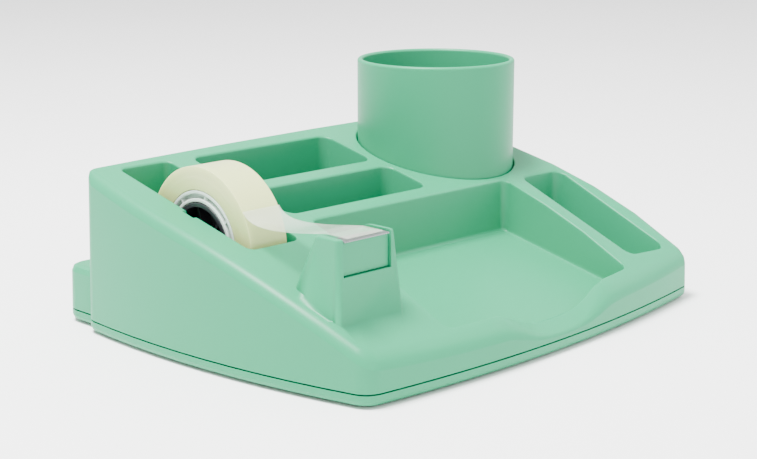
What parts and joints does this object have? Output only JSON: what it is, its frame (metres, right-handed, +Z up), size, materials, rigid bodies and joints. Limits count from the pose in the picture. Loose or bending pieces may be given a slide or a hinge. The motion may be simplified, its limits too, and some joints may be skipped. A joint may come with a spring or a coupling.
{
  "type": "desk organiser with tape dispenser",
  "caption": "Low wedge-shaped desk organiser in pastel plastic: tape roll in a well with a toothed cutter head, lift-out pen cup, memo tray and compartments.",
  "frame": {"origin": "on the table, under the middle of the object's outline", "axes": "+X to the right as a user sees it, +Y to the back, +Z up"},
  "size_m": [0.2317, 0.1852, 0.1048],
  "materials": {
    "mint_plastic": "satin moulded plastic, pastel mint",
    "blade_steel": "stamped steel strip, dull",
    "tape_film": "clear film, wound yellowish white",
    "core_plastic": "moulded, translucent white",
    "hub_plastic": "moulded, black",
    "zinc_steel": "zinc plated",
    "ballast_steel": "raw sheared plate",
    "foot_rubber": "matt"
  },
  "bodies": {
    "body": {"top_shell": "mint_plastic", "base_tray": "mint_plastic", "cutter_insert": "mint_plastic", "cutter_blade": "blade_steel", "case_screw_1": "zinc_steel", "case_screw_2": "zinc_steel", "case_screw_3": "zinc_steel", "case_screw_4": "zinc_steel", "case_screw_5": "zinc_steel", "case_screw_6": "zinc_steel", "foot_pad_1": "foot_rubber", "foot_pad_2": "foot_rubber", "foot_pad_3": "foot_rubber", "foot_pad_4": "foot_rubber", "foot_pad_5": "foot_rubber", "foot_pad_6": "foot_rubber", "ballast_plate_lower": "ballast_steel", "ballast_plate_upper": "ballast_steel", "ballast_screw_1": "zinc_steel", "ballast_screw_2": "zinc_steel"},
    "pen_cup": {"pen_cup": "mint_plastic"},
    "roll_axle": {"hub_axle": "zinc_steel", "tape_tail": "tape_film"},
    "tape_roll": {"tape_winding": "tape_film", "tape_core": "core_plastic", "tape_hub": "hub_plastic"}
  },
  "joints": [
    {"name": "cup_lift", "type": "slide", "parent": "body", "child": "pen_cup", "axis": [0, 0, 1], "range_m": [0, 0.1]},
    {"name": "roll_lift", "type": "slide", "parent": "body", "child": "roll_axle", "axis": [0, 0, 1], "range_m": [0, 0.06]},
    {"name": "roll_spin", "type": "hinge", "parent": "roll_axle", "child": "tape_roll", "pos_m": [-0.0828, 0.017, 0.0439], "axis": [1, 0, 0], "continuous": true}
  ]
}
